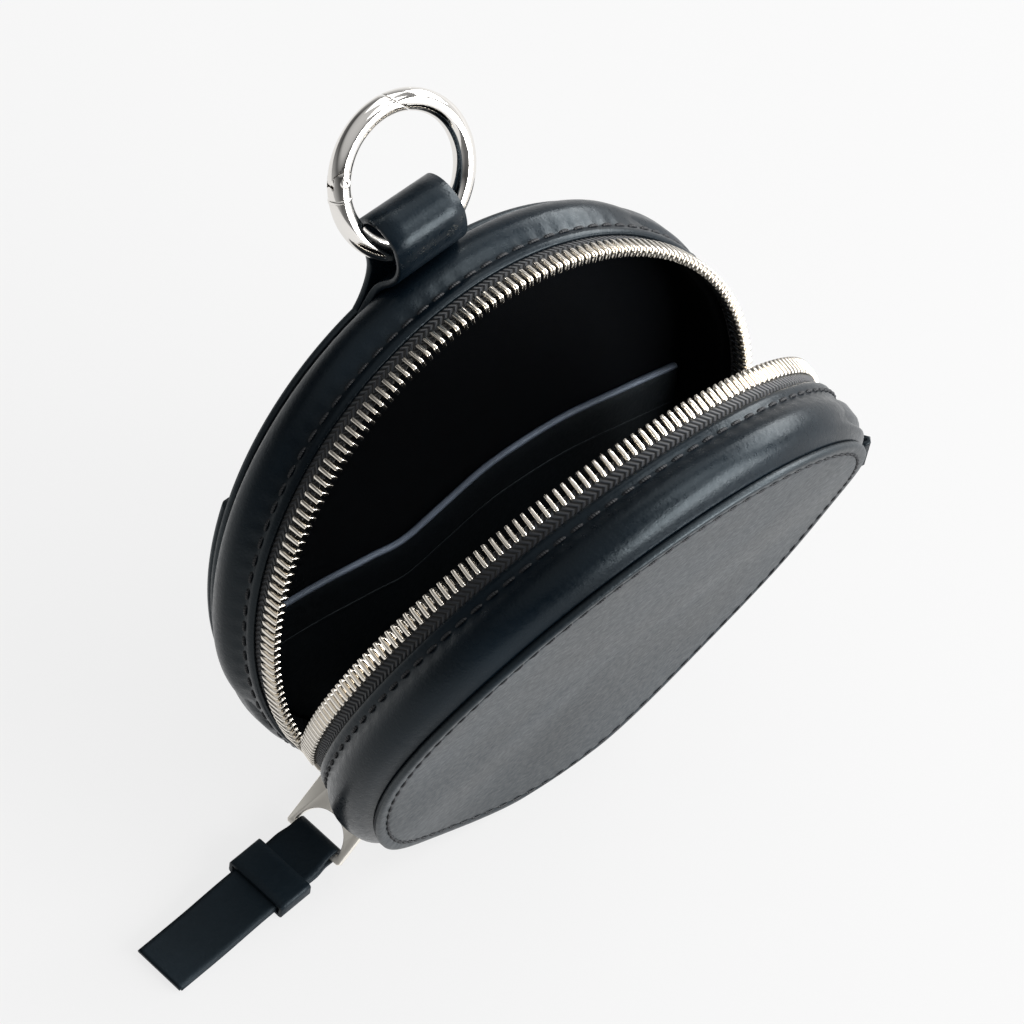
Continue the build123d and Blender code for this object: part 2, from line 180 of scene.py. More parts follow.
def offset_section(points, distance):
    """Points of an open (a, b) line moved sideways by a distance."""
    out = []
    for i, (a, b) in enumerate(points):
        a0, b0 = points[max(i - 1, 0)]
        a1, b1 = points[min(i + 1, len(points) - 1)]
        da, db = a1 - a0, b1 - b0
        length = math.hypot(da, db) or 1.0
        out.append((a - db / length * distance, b + da / length * distance))
    return out


# ---- materials -------------------------------------------------------------------------------
def base_material(name, colour, roughness, metallic=0.0, specular=0.5):
    m = bpy.data.materials.new(name)
    m.use_nodes = True
    nt = m.node_tree
    shader = nt.nodes["Principled BSDF"]
    shader.inputs["Base Color"].default_value = (*colour, 1)
    shader.inputs["Roughness"].default_value = roughness
    shader.inputs["Metallic"].default_value = metallic
    shader.inputs["Specular IOR Level"].default_value = specular
    return m, nt, shader


def add_node(nt, kind, **values):
    node = nt.nodes.new(kind)
    for key, value in values.items():
        if key in node.inputs:
            node.inputs[key].default_value = value
        else:
            setattr(node, key, value)
    return node


def coordinates(nt, output="Object"):
    return add_node(nt, "ShaderNodeTexCoord").outputs[output]


def texture(nt, kind, where, **values):
    node = add_node(nt, kind, **values)
    nt.links.new(where, node.inputs["Vector"])
    return node


def maths(nt, operation, a, b=None, c=None):
    node = nt.nodes.new("ShaderNodeMath")
    node.operation = operation
    for i, value in enumerate((a, b, c)):
        if value is None:
            continue
        if isinstance(value, (int, float)):
            node.inputs[i].default_value = value
        else:
            nt.links.new(value, node.inputs[i])
    return node.outputs[0]


def ramp(nt, source, stops):
    node = nt.nodes.new("ShaderNodeValToRGB")
    elements = node.color_ramp.elements
    while len(elements) < len(stops):
        elements.new(0.5)
    for element, (position, value) in zip(elements, stops):
        element.position = position
        element.color = (value, value, value, 1) if isinstance(value, (int, float)) else (*value, 1)
    nt.links.new(source, node.inputs[0])
    return node.outputs[0]


def bump(nt, shader, height, distance, previous=None):
    node = add_node(nt, "ShaderNodeBump", Strength=1.0, Distance=distance)
    nt.links.new(height, node.inputs["Height"])
    if previous is not None:
        nt.links.new(previous, node.inputs["Normal"])
    nt.links.new(node.outputs[0], shader.inputs["Normal"])
    return node.outputs[0]


def leather(name, colour, roughness=0.34, grain=0.00004, crease=0.000014, specular=0.42):
    m, nt, shader = base_material(name, colour, roughness, specular=specular)
    shader.inputs["Specular Tint"].default_value = (0.80, 0.93, 1.0, 1)
    where = coordinates(nt)
    cells = texture(nt, "ShaderNodeTexVoronoi", where, Scale=1700.0, feature="SMOOTH_F1", Smoothness=0.6)
    fine = texture(nt, "ShaderNodeTexNoise", where, Scale=900.0, Detail=4.0)
    pores = maths(nt, "ADD", cells.outputs["Distance"], maths(nt, "MULTIPLY", fine.outputs[0], 0.9))
    slack = texture(nt, "ShaderNodeTexNoise", where, Scale=95.0, Detail=3.0, Distortion=0.6)
    shade = texture(nt, "ShaderNodeTexNoise", where, Scale=40.0, Detail=5.0)
    tone = add_node(nt, "ShaderNodeMixRGB")
    tone.inputs[1].default_value = (*[c * 0.72 for c in colour], 1)
    tone.inputs[2].default_value = (*[c * 1.35 for c in colour], 1)
    nt.links.new(ramp(nt, shade.outputs[0], [(0.35, 0.0), (0.68, 1.0)]), tone.inputs[0])
    nt.links.new(tone.outputs[0], shader.inputs["Base Color"])
    rough = ramp(nt, fine.outputs[0], [(0.25, roughness - 0.07), (0.75, roughness + 0.08)])
    nt.links.new(rough, shader.inputs["Roughness"])
    stretched = add_node(nt, "ShaderNodeMapping")
    stretched.inputs["Scale"].default_value = (0.4, 1.0, 1.0)
    nt.links.new(where, stretched.inputs["Vector"])
    wrinkle = texture(nt, "ShaderNodeTexNoise", stretched.outputs[0], Scale=700.0, Detail=4.0, Distortion=1.2)
    creases = bump(nt, shader, slack.outputs[0], crease)
    ridges = ramp(nt, wrinkle.outputs[0], [(0.3, 0.0), (0.5, 1.0), (0.7, 0.0)])
    wrinkles = bump(nt, shader, ridges, crease * 0.6, previous=creases)
    bump(nt, shader, pores, grain, previous=wrinkles)
    return m


def cloth(name, colour, scale):
    m, nt, shader = base_material(name, colour, 0.85, specular=0.08)
    where = coordinates(nt)
    warp = texture(nt, "ShaderNodeTexWave", where, Scale=scale, bands_direction="X", Distortion=0.3)
    weft = texture(nt, "ShaderNodeTexWave", where, Scale=scale, bands_direction="Z", Distortion=0.3)
    weave = maths(nt, "MULTIPLY", warp.outputs[1], weft.outputs[1])
    fuzz = texture(nt, "ShaderNodeTexNoise", where, Scale=300.0, Detail=3.0)
    tone = add_node(nt, "ShaderNodeMixRGB")
    tone.inputs[1].default_value = (*[c * 0.7 for c in colour], 1)
    tone.inputs[2].default_value = (*[c * 1.4 for c in colour], 1)
    nt.links.new(fuzz.outputs[0], tone.inputs[0])
    nt.links.new(tone.outputs[0], shader.inputs["Base Color"])
    bump(nt, shader, weave, 0.00008)
    return m


def tape_weave(name, colour):
    """Herringbone: slanted ribs that change direction from band to band across the tape."""
    m, nt, shader = base_material(name, colour, 0.7, specular=0.3)
    shader.inputs["Sheen Weight"].default_value = 0.2
    split = nt.nodes.new("ShaderNodeSeparateXYZ")
    nt.links.new(coordinates(nt, "UV"), split.inputs[0])
    along, across = split.outputs[0], split.outputs[1]
    band = maths(nt, "FRACT", maths(nt, "MULTIPLY", across, 0.36))
    zigzag = maths(nt, "ABSOLUTE", maths(nt, "SUBTRACT", band, 0.5))
    slant = maths(nt, "ADD", maths(nt, "MULTIPLY", along, 0.85), maths(nt, "MULTIPLY", zigzag, 2.2))
    ribs = maths(nt, "SINE", maths(nt, "MULTIPLY", slant, 2 * math.pi))
    height = maths(nt, "MULTIPLY_ADD", ribs, 0.5, 0.5)
    # Painted shade in the hollows between the ribs and painted highlight on their crests: the colour follows
    # the rib height.
    tone = add_node(nt, "ShaderNodeMixRGB")
    tone.inputs[1].default_value = (*[c * 0.15 for c in colour], 1)
    tone.inputs[2].default_value = (*[c * 2.4 for c in colour], 1)
    nt.links.new(height, tone.inputs[0])
    nt.links.new(tone.outputs[0], shader.inputs["Base Color"])
    bump(nt, shader, height, 0.0003)
    return m


def metal(name, colour, roughness, wear=0.05):
    m, nt, shader = base_material(name, colour, roughness, metallic=1.0)
    where = coordinates(nt)
    cloudy = texture(nt, "ShaderNodeTexNoise", where, Scale=140.0, Detail=4.0)
    rough = ramp(nt, cloudy.outputs[0], [(0.3, roughness), (0.75, roughness + wear)])
    nt.links.new(rough, shader.inputs["Roughness"])
    return m


def thread_material(name, colour):
    m, nt, shader = base_material(name, colour, 0.6, specular=0.4)
    split = nt.nodes.new("ShaderNodeSeparateXYZ")
    nt.links.new(coordinates(nt, "UV"), split.inputs[0])
    twist = maths(nt, "ADD", maths(nt, "MULTIPLY", split.outputs[0], 2.2), split.outputs[1])
    ply = maths(nt, "MULTIPLY_ADD", maths(nt, "SINE", maths(nt, "MULTIPLY", twist, 2 * math.pi)), 0.5, 0.5)
    # Painted shade between the twisted plies and painted highlight on their crests: the colour follows the
    # ply height.
    tone = add_node(nt, "ShaderNodeMixRGB")
    tone.inputs[1].default_value = (*[c * 0.6 for c in colour], 1)
    tone.inputs[2].default_value = (*[c * 1.6 for c in colour], 1)
    nt.links.new(ply, tone.inputs[0])
    nt.links.new(tone.outputs[0], shader.inputs["Base Color"])
    bump(nt, shader, ply, 0.00006)
    return m


LEATHER = leather("black_smooth_leather", (0.0018, 0.0042, 0.0070),
                  roughness=0.30, grain=0.00002, specular=0.22)
PANEL_LEATHER = leather("black_panel_leather", (0.003, 0.0058, 0.0085),
                        roughness=0.4, grain=0.00003, specular=0.38)
STRAP_LEATHER = leather("black_strap_leather", (0.0025, 0.0055, 0.0085), roughness=0.5, specular=0.2)
POCKET_LEATHER = leather("inner_pocket_leather", (0.0015, 0.0024, 0.0036), roughness=0.6, specular=0.25)
POCKET_EDGE_PAINT = leather("pocket_edge_paint", (0.12, 0.145, 0.19), roughness=0.5, grain=0.00002)
LINING = cloth("black_lining", (0.0005, 0.0011, 0.0021), 2600.0)
CARD = cloth("stiffener_card", (0.05, 0.045, 0.04), 900.0)
TAPE = tape_weave("zip_tape_weave", (0.008, 0.0095, 0.012))
THREAD = thread_material("black_thread", (0.0035, 0.0045, 0.0065))
NICKEL = metal("polished_nickel", (0.84, 0.815, 0.78), 0.05)
TEETH = metal("nickel_teeth", (0.80, 0.75, 0.67), 0.16, wear=0.06)
PALE = metal("pale_pull_metal", (0.97, 0.93, 0.85), 0.34, wear=0.04)
SATIN = metal("satin_nickel", (0.92, 0.88, 0.80), 0.16, wear=0.06)


# ---- side wall of a half ---------------------------------------------------------------------
# Outside line of the wall from the turned edge beside the zip, over the swell, to the groove at the panel,
# as (radius, y). It is stretched sideways where the wall starts nearer the middle plane.
WALL_KEYS = [(58.75, 6.2), (59.2, 6.75), (59.3, 7.5), (59.12, 8.4), (59.7, 9.4), (60.7, 10.8), (61.3, 12.3),
             (61.3, 13.8), (60.9, 15.2), (60.15, 16.5), (59.1, WALL_SHOULDER_Y),
             (57.95, 18.4), (57.35, 18.95)]
WALL = curve_through(WALL_KEYS, 34)
STITCH_IN = 2.2


def wall_start(deg):
    """y of the wall's edge on a half: beside the zip above the hinge, at the middle below it."""
    z = 59.0 * math.sin(math.radians(deg)) + HINGE_DROP
    def plane(gap):
        return (gap - z * math.sin(LEAN)) / math.cos(LEAN)
    if deg > 90:
        upper = mix(FOLD_Y, plane(4.5), smooth((deg - ROW_LEFT) / 5))
        return mix(upper, plane(0.0), smooth((deg - SLOT_LEFT_END) / 3.5))
    upper = mix(FOLD_Y, plane(1.6), smooth((ROW_RIGHT - deg) / 4))
    return mix(upper, plane(0.0), smooth((SLOT_RIGHT_END - deg) / 4))


def wall_line(deg):
    """Outside line of the wall at one angle."""
    start = wall_start(deg)
    k = (WALL_SHOULDER_Y - start) / (WALL_SHOULDER_Y - FOLD_Y)
    low = smooth((math.sin(math.radians(-deg)) - 0.55) / 0.35)      # flatter underneath
    line = []
    for r, y in WALL:
        y2 = WALL_SHOULDER_Y - (WALL_SHOULDER_Y - y) * k if y < WALL_SHOULDER_Y else y
        line.append((mix(r, min(r, 60.2), 0.6 * low), y2))
    return line


def bell(deg, centre, width):
    return math.exp(-((deg - centre) / width) ** 2)


def bulge(side, deg):
    """How far the panel side of a half stands out, in millimetres: it spreads where it rests on the floor."""
    deg = (deg + 200) % 360 - 200
    if side > 0:
        return 2.5 * bell(deg, -90, 38)
    return 5.4 * bell(deg, -90, 38) + 2.6 * bell(deg, -150, 25) - 1.1 * bell(deg, -5, 22)


def slim(side, deg):
    """Where the swell of the side wall is flatter, in millimetres."""
    deg = (deg + 100) % 360 - 100
    if side > 0:
        return -2.2 * bell(deg, 38, 15) - 2.4 * bell(deg, 206, 14)
    return -2.1 * bell(deg, 30, 15)


def pucker(deg, y, start):
    """Small dips between the stitches, fading away from the stitch line."""
    phase = deg / 360 * STITCHES_ROUND * 2 * math.pi
    near = math.exp(-((y - start - STITCH_IN - 0.9) / 1.3) ** 2)
    return 0.05 * near * math.cos(phase)


def gusset_leather(side, name, seed):
    rng = random.Random(seed)
    waves = [(rng.uniform(0, 6.28), rng.randint(4, 13), rng.uniform(0.01, 0.04)) for _ in range(7)]
    steps = 8 * STITCHES_ROUND
    thetas = [-90 + 360 * i / steps for i in range(steps)]
    rows = []
    for deg in thetas:
        start = wall_start(deg)
        outer = wall_line(deg)
        inner = offset_section(outer, 1.0)
        # the turned edge goes round and back under itself
        fold = [(58.3, start - 0.05), (58.0, start + 0.35), (57.95, start + 1.2)]
        section = []
        for r, y in outer:
            ripple = sum(a * math.sin(n * math.radians(deg) + p + y * 0.25) for p, n, a in waves)
            swell = smooth((y - start - 2) / 3) * smooth((17.6 - y) / 2)
            tuck = 1.35 * smooth((y - 16.6) / 2.1) if side > 0 else 0.0
            section.append((r + (ripple + slim(side, deg)) * swell + pucker(deg, y, start) - tuck, y, 0.0))
        back = [(min(r, 60.0) if 9 < y < 17 else min(r, 58.4), y, 1.0) for r, y in inner[3:]][::-1]
        section += back[::2]
        section += [(r, y, 1.0) for r, y in reversed(fold)]
        row = []
        for r, y, inside in section:
            y += bulge(side, deg) * smooth((y - 8) / 9)
            row.append(lift(half_point(side, r, deg, y), 0.25 + 0.9 * inside, 0.5))
        rows.append(row)
    step = 2 * math.pi * 59 / len(rows)
    return grid(name, rows, LEATHER, closed_u=True, closed_v=True, uv=lambda i, j: (i * step, j * 0.6))


def stitch_row(name, samples, normals, length=2.9, radius=0.3, rise=0.2):
    """Separate thread stitches along a line of millimetre points, each sinking in at its ends."""
    bm = bmesh.new()
    layer = bm.loops.layers.uv.new("UVMap")
    lengths = [0.0]
    for a, b in zip(samples, samples[1:]):
        lengths.append(lengths[-1] + (b - a).length)
    total = lengths[-1]
    count = max(1, round(total / STITCH_PITCH))
    step = total / count

    def at(s):
        s = min(max(s, 0.0), total)
        lo, hi = 0, len(lengths) - 1
        while hi - lo > 1:
            m = (lo + hi) // 2
            if lengths[m] <= s:
                lo = m
            else:
                hi = m
        t = (s - lengths[lo]) / ((lengths[hi] - lengths[lo]) or 1)
        return samples[lo].lerp(samples[hi], t), normals[lo].lerp(normals[hi], t).normalized()

    sides, rings = 6, 7
    for k in range(count):
        middle = (k + 0.5) * step
        verts = []
        for i in range(rings):
            t = i / (rings - 1) * 2 - 1
            p, n = at(middle + t * length / 2)
            ahead, _ = at(middle + t * length / 2 + 0.05)
            tangent = (ahead - p).normalized() if (ahead - p).length > 1e-6 else Vector((1, 0, 0))
            across = tangent.cross(n).normalized()
            height = rise - 0.42 * abs(t) ** 3
            r = radius * (1 - 0.35 * abs(t) ** 4)
            ring = []
            for j in range(sides):
                a = 2 * math.pi * j / sides
                up, out = height + r * math.sin(a), r * 1.15 * math.cos(a)
                ring.append(bm.verts.new((p + n * up + across * out) * MM))
            verts.append(ring)
        for i in range(rings - 1):
            for j in range(sides):
                j2 = (j + 1) % sides
                f = bm.faces.new((verts[i][j], verts[i][j2], verts[i + 1][j2], verts[i + 1][j]))
                for loop, (u, v) in zip(f.loops, ((i, j), (i, j + 1), (i + 1, j + 1), (i + 1, j))):
                    loop[layer].uv = (u * length / rings, v / sides)
        bm.faces.new(verts[0][::-1])
        bm.faces.new(verts[-1])
    return from_bmesh(name, bm, THREAD)


def gusset_stitches(side, name):
    samples, normals = [], []
    for i in range(700):
        deg = ROW_RIGHT - 4 + (SLOT_LEFT_END + 0.5 - ROW_RIGHT + 4) * i / 699
        start = wall_start(deg)
        y = start + STITCH_IN * (WALL_SHOULDER_Y - start) / (WALL_SHOULDER_Y - FOLD_Y)
        r = 59.12
        samples.append(lift(half_point(side, r, deg, y), 0.3, 0.5))
        out = half_point(side, r + 1, deg, y - 0.12) - half_point(side, r, deg, y)
        normals.append(out.normalized())
    return stitch_row(name, samples, normals)


# ---- round panels ----------------------------------------------------------------------------
def panel_profile():
    """(radius, y) line from the middle of the outside, round the edge, to the middle inside."""
    face = [(PANEL_R * t, PANEL_OUT_Y + PANEL_CROWN * (1 - t * t)) for t in [i / 26 for i in range(26)]]
    face[0] = (MIDDLE_R, face[0][1])
    groove = PANEL_R - PANEL_STITCH_INSET
    line = [(r, y) for r, y in face if r < groove - 1.2]
    line += [(groove - 1.0, PANEL_OUT_Y + 0.03), (groove - 0.45, PANEL_OUT_Y),
             (groove, PANEL_OUT_Y - 0.3), (groove + 0.45, PANEL_OUT_Y),
             (PANEL_R - 1.1, PANEL_OUT_Y + 0.04), (PANEL_R - 0.5, PANEL_OUT_Y),
             (PANEL_R - 0.12, PANEL_OUT_Y - 0.22), (PANEL_R, PANEL_MIDDLE_Y),
             (PANEL_R - 0.15, PANEL_IN_Y + 0.2), (PANEL_R - 0.5, PANEL_IN_Y)]
    return line + [(PANEL_R * t, PANEL_IN_Y) for t in (0.8, 0.5, 0.2)] + [(MIDDLE_R, PANEL_IN_Y)]


def panel_leather(side, name, seed):
    rng = random.Random(seed)
    waves = [(rng.uniform(0, 6.28), rng.randint(2, 9), rng.uniform(0.02, 0.07)) for _ in range(6)]
    profile = panel_profile()
    steps = 4 * STITCHES_ROUND
    rows = []
    for i in range(steps):
        deg = 360 * i / steps
        row = []
        for r, y in profile:
            soft = sum(a * math.sin(n * math.radians(deg) + p) for p, n, a in waves) * (r / PANEL_R) ** 3
            near = math.exp(-((r - PANEL_R + PANEL_STITCH_INSET) / 0.9) ** 2)
            stitch = 0.05 * near * math.cos(math.radians(deg) * STITCHES_ROUND)
            inside = y < PANEL_MIDDLE_Y
            y += bulge(side, deg) * (r / PANEL_R) ** 1.5
            row.append(lift(half_point(side, r + soft * 0.8, deg, y + (0 if inside else stitch)), 0.15, 0.3))
        rows.append(row)
    return grid(name, rows, PANEL_LEATHER, closed_u=True, uv=lambda i, j: (i * 0.93, j * 1.0))


def close_middle(obj):
    """Welds the tiny rings at a disc's middle."""
    bm = bmesh.new()
    bm.from_mesh(obj.data)
    bmesh.ops.remove_doubles(bm, verts=bm.verts, dist=0.06 * MM)
    bm.to_mesh(obj.data)
    bm.free()
    return obj


def panel_stitches(side, name, y=PANEL_OUT_Y, radius=PANEL_R - PANEL_STITCH_INSET, sweep=(0, 360), facing=1):
    samples, normals = [], []
    for i in range(600):
        deg = sweep[0] + (sweep[1] - sweep[0]) * i / 599
        out = bulge(side, deg) * (radius / PANEL_R) ** 1.5
        samples.append(lift(half_point(side, radius, deg, y - 0.1 * facing + out), 0.2, 0.3))
        outwards = half_point(side, radius, deg, y + facing) - half_point(side, radius, deg, y)
        normals.append(outwards.normalized())
    return stitch_row(name, samples, normals, length=3.2, radius=0.26, rise=0.14)


POCKET_EDGE = [(-60, -3.0), (-40, -3.0), (-24, -4.4), (-16, -5.2), (-7, -2.9), (4, -0.1), (14, 0.45),
               (25, -0.2), (38, -2.6), (50, -4.9), (60, -7.0)]
POCKET_R = 55.3


def inner_pocket():
    """Slip pocket inside the back half: a thin leather sheet whose S-shaped edge gapes a little."""
    edge = curve_through(POCKET_EDGE, 160)
    low_y, high_y = 15.95, 17.25
    rows = []
    for x, top in edge:
        if abs(x) > 54.0:
            continue
        bottom = -math.sqrt(POCKET_R ** 2 - x * x)
        gape = 0.55 * smooth(1 - abs(x + 4) / 50)
        row = []
        steps = 22
        for k in range(steps + 1):
            t = (k / steps) ** 0.8
            z = mix(top - 0.35, bottom, t)
            out = gape * smooth(1 - (top - z) / 16)
            row.append(pocket_point(x, low_y - out, z))
        for k in range(steps + 1):
            t = 1 - (k / steps) ** 1.2
            z = mix(top - 0.35, bottom, t)
            out = gape * smooth(1 - (top - z) / 16)
            row.append(pocket_point(x, high_y - 0.25 - out, z))
        row += [pocket_point(x, high_y - 0.45 - gape, top - 0.08),
                pocket_point(x, (low_y + high_y) / 2 - 0.1 - gape, top),
                pocket_point(x, low_y + 0.2 - gape, top - 0.08)]
        rows.append(row)
    return grid("inner_pocket_leather", rows, POCKET_LEATHER, closed_v=True, cap=True,
                uv=lambda i, j: (i * 0.7, j * 1.0))


def pocket_point(x, y, z):
    return half_point(1, math.hypot(x, z), math.degrees(math.atan2(z, x)), y)


def pocket_band(name, drop, width, over, material):
    """Narrow strip that follows the pocket's edge on its front. over is how far it laps over the edge."""
    edge = [p for p in curve_through(POCKET_EDGE, 200) if abs(p[0]) < 53.5]
    rows = []
    for x, top in edge:
        y = 15.9 - 0.55 * smooth(1 - abs(x + 4) / 50)
        z = top - drop
        rows.append([pocket_point(x, y + 0.25 + over, z),
                     pocket_point(x, y + 0.15 + over * 0.7, z + over * 0.16),
                     pocket_point(x, y + 0.1 + over * 0.3, z + over * 0.14),
                     pocket_point(x, y, z - 0.06),
                     pocket_point(x, y - 0.05, z - width / 2), pocket_point(x, y, z - width + 0.05),
                     pocket_point(x, y + 0.25, z - width), pocket_point(x, y + 0.3, z - 0.25 * width)])
    return grid(name, rows, material, closed_v=True, cap=True, uv=lambda i, j: (i * 0.6, j * 0.5))


OUTER_POCKET_TOP = 25.3
OUTER_POCKET_R = PANEL_R - 0.3
OUTER_POCKET_SEAM = 0.953      # where its stitches lie, as a share of its radius
OUTER_POCKET_START = math.degrees(math.asin(OUTER_POCKET_TOP / OUTER_POCKET_R))


def outer_pocket():
    """Slip pocket on the back's outside, with a straight top edge."""
    low_y, high_y = 20.5, 21.9
    start = OUTER_POCKET_START
    section = [(0.0, high_y), (0.25, high_y), (0.5, high_y), (0.75, high_y), (0.94, high_y),
               (OUTER_POCKET_SEAM, high_y - 0.14), (0.967, high_y), (0.99, high_y - 0.08),
               (0.998, high_y - 0.3), (1.0, high_y - 0.7), (1.0, low_y + 0.2),
               (0.97, low_y), (0.5, low_y), (0.0, low_y)]
    rows = []
    for i in range(300):
        deg = 180 - start + (180 + 2 * start) * i / 299
        a = math.radians(deg)
        row = []
        for t, y in section:
            x = OUTER_POCKET_R * t * math.cos(a)
            z = mix(OUTER_POCKET_TOP, OUTER_POCKET_R * math.sin(a), t)
            out = bulge(1, math.degrees(math.atan2(z, x))) * (math.hypot(x, z) / PANEL_R) ** 1.5
            row.append(lift(pocket_point(x, y + out, z), 0.1, 0.3))
        rows.append(row)
    return grid("outer_pocket_leather", rows, PANEL_LEATHER, closed_v=True, cap=True,
                uv=lambda i, j: (i * 0.9, j * 2.0))


# ---- lining ----------------------------------------------------------------------------------
def lining_cup(side, name, seed):
    rng = random.Random(seed)
    waves = [(rng.uniform(0, 6.28), rng.randint(4, 17), rng.uniform(0.03, 0.1)) for _ in range(6)]
    keys = [(57.35, 5.0), (56.7, 5.3), (56.25, 6.4), (56.1, 9.5), (56.05, 13.0), (55.9, 15.8), (55.0, 17.1),
            (50.0, 17.35), (30.0, 17.4), (MIDDLE_R, 17.4)]
    inside = curve_through(keys, 44)
    rows = []
    for i in range(360):
        deg = -90 + i
        z = 56 * math.sin(math.radians(deg)) + HINGE_DROP
        cut = 0.3 - z * math.tan(math.radians(17.3)) if z < 0 else 0.0
        if 90 < deg < 245 and z < 0:
            cut += 5.0 * smooth((deg - 200) / 3)
        row = []
        for r, y in inside:
            ripple = sum(a * math.sin(n * math.radians(deg) + p + y * 0.3) for p, n, a in waves)
            ripple *= smooth((y - 6.0) / 4) * smooth((r - 20) / 30)
            row.append(lift(half_point(side, r - ripple * 0.6, deg, max(y, cut)), 2.6, 0.4))
        for r, y in reversed(inside):
            thick = 0.35
            r2 = r + thick if y < 16 else r
            y2 = y if y < 16 else y + thick
            row.append(lift(half_point(side, r2, deg, max(y2, cut)), 2.3, 0.4))
        rows.append(row)
    return close_middle(grid(name, rows, LINING, closed_u=True, closed_v=True,
                             uv=lambda i, j: (i * 1.0, j * 1.0)))


# ---- zip -------------------------------------------------------------------------------------
def tape_strip(place, high, low, name, y_from, y_to):
    bead = [(57.2, y_from - 0.35), (57.5, y_from - 0.75), (58.1, y_from - 0.75),
            (58.45, y_from - 0.35), (58.2, y_from)]
    outside = curve_through([(58.12, y_from + 0.2), (58.05, y_to)], 8)
    inside = curve_through([(57.55, y_to), (57.55, y_from)], 8)
    loop = bead + outside + inside
    steps = int(abs(high - low) * 1.5) + 2
    rows = [[place(r, mix(high, low, i / (steps - 1)), y) for r, y in loop] for i in range(steps)]
    arc = math.radians(abs(high - low)) * TOOTH_ROW_R / steps
    across = [0.0]
    for a, b in zip(loop, loop[1:] + loop[:1]):
        across.append(across[-1] + math.dist(a, b))
    return grid(name, rows, TAPE, closed_v=True, cap=True, uv=lambda i, j: (i * arc, across[j]))


def tooth_shape():
    """One tooth as stacked sections along its length: (y, half width, low radius, high radius)."""
    return [(0.25, 0.25, 57.3, 58.75), (0.38, 0.33, 57.0, 59.0), (1.3, 0.35, 56.95, 59.1),
            (3.3, 0.39, 56.9, 59.15), (3.85, 0.38, 57.0, 59.05), (4.0, 0.28, 57.3, 58.7)]


def teeth(place, degrees_list, name, sign=1):
    bm = bmesh.new()
    shape = tooth_shape()
    for deg in degrees_list:
        rings = []
        for y, half, low, high in shape:
            corner = 0.11
            outline = [(half - corner, high), (half, high - corner),
                       (half, low + corner), (half - corner, low),
                       (-half + corner, low), (-half, low + corner),
                       (-half, high - corner), (-half + corner, high)]
            rings.append([bm.verts.new(place(r, deg + math.degrees(w / TOOTH_ROW_R), sign * y) * MM)
                          for w, r in outline])
        for a, b in zip(rings, rings[1:]):
            for j in range(8):
                bm.faces.new((a[j], a[(j + 1) % 8], b[(j + 1) % 8], b[j]))
        bm.faces.new(rings[0][::-1])
        bm.faces.new(rings[-1])
    return from_bmesh(name, bm, TEETH)


def half_place(side):
    return lambda r, deg, y: half_point(side, r, deg, y)


def mid_place(r, deg, y):
    a = math.radians(deg)
    return mid_point(r * math.cos(a), y, r * math.sin(a))


def row_degrees(high, low, shifted):
    shift = TOOTH_PITCH_DEG / 2 if shifted else 0.0
    count = int((high - low - shift) / TOOTH_PITCH_DEG)
    return [high - shift - (i + 0.5) * TOOTH_PITCH_DEG for i in range(count)]


# ---- ribbons: straps and loops ---------------------------------------------------------------
def ribbon(name, path, place, half_width, thickness, material, closed=False):
    """Flat strip along a 2D path, with soft edges.

    place(a, b, t) puts path point (a, b) and side step t in the row frame.
    """
    n = len(path)
    rows = []
    for i, (a, b) in enumerate(path):
        a0, b0 = path[(i - 1) % n] if closed else path[max(i - 1, 0)]
        a1, b1 = path[(i + 1) % n] if closed else path[min(i + 1, n - 1)]
        length = math.hypot(a1 - a0, b1 - b0) or 1.0
        na, nb = -(b1 - b0) / length, (a1 - a0) / length
        w = half_width(i / (n - 1))
        h = thickness / 2
        row = []
        inset = 0.35 * h
        outline = [(-w + inset, h), (-w * 0.8, h), (-w * 0.4, h), (0, h),
                   (w * 0.4, h), (w * 0.8, h), (w - inset, h),
                   (w - 0.1, h * 0.75), (w, 0), (w - 0.1, -h * 0.75), (w - inset, -h), (w * 0.5, -h), (0, -h),
                   (-w * 0.5, -h), (-w + inset, -h), (-w + 0.1, -h * 0.75), (-w, 0), (-w + 0.1, h * 0.75)]
        for t, d in outline:
            row.append(place(a + na * d, b + nb * d, t))
        rows.append(row)
    return grid(name, rows, material, closed_u=closed, closed_v=True, cap=not closed,
                uv=lambda i, j: (i * 0.8, j * 1.0))


LOOP_DEG = 97.0


def loop_place(y, q, t):
    """y through the purse, q outwards from the disc's centre and t along the rim, on the back half."""
    a = math.radians(LOOP_DEG)
    q = q - 0.05 * t * smooth((q - 62) / 6)
    x = q * math.cos(a) + t * math.sin(a)
    z = q * math.sin(a) - t * math.cos(a)
    bow = t * t / 120 * smooth((63 - q) / 5)       # the foot follows the round rim
    r = math.hypot(x, z) - bow
    return half_point(1, r, math.degrees(math.atan2(z, x)), y)


def hanging_loop():
    keys = [(19.75, 50.0), (19.75, 56.0), (19.85, 60.0), (20.2, 64.5), (20.5, 70.5)]
    for i in range(1, 8):
        a = math.radians(-4 + i * 188 / 8)
        keys.append((15.4 + 5.1 * math.cos(a), 71.8 + 5.0 * math.sin(a)))
    keys += [(10.4, 70.4), (11.0, 67.6), (12.4, 65.0), (14.2, 63.0), (16.0, 61.7), (17.4, 60.4),
             (18.25, 57.8), (18.3, 53.0)]
    path = curve_through(keys, 96)

    def half_width(s):
        q = path[round(s * (len(path) - 1))][1]
        flare = min(1.0, max(0.0, (65.0 - q) / 8.0))
        return 7.9 + 6.5 * flare ** 2.2
    return ribbon("hanging_loop_leather", path, loop_place, half_width, 1.3, LEATHER)


# ---- strap on the pull -----------------------------------------------------------------------
BAR_X, BAR_Z = -48.9, 2.05
STRAP_YAW = math.radians(180 + 5.6)
STRAP_Y0 = -1.12


def strap_place(along, up, t):
    c, s = math.cos(STRAP_YAW), math.sin(STRAP_YAW)
    return Vector((BAR_X + along * c - t * s, STRAP_Y0 + along * s + t * c, up))


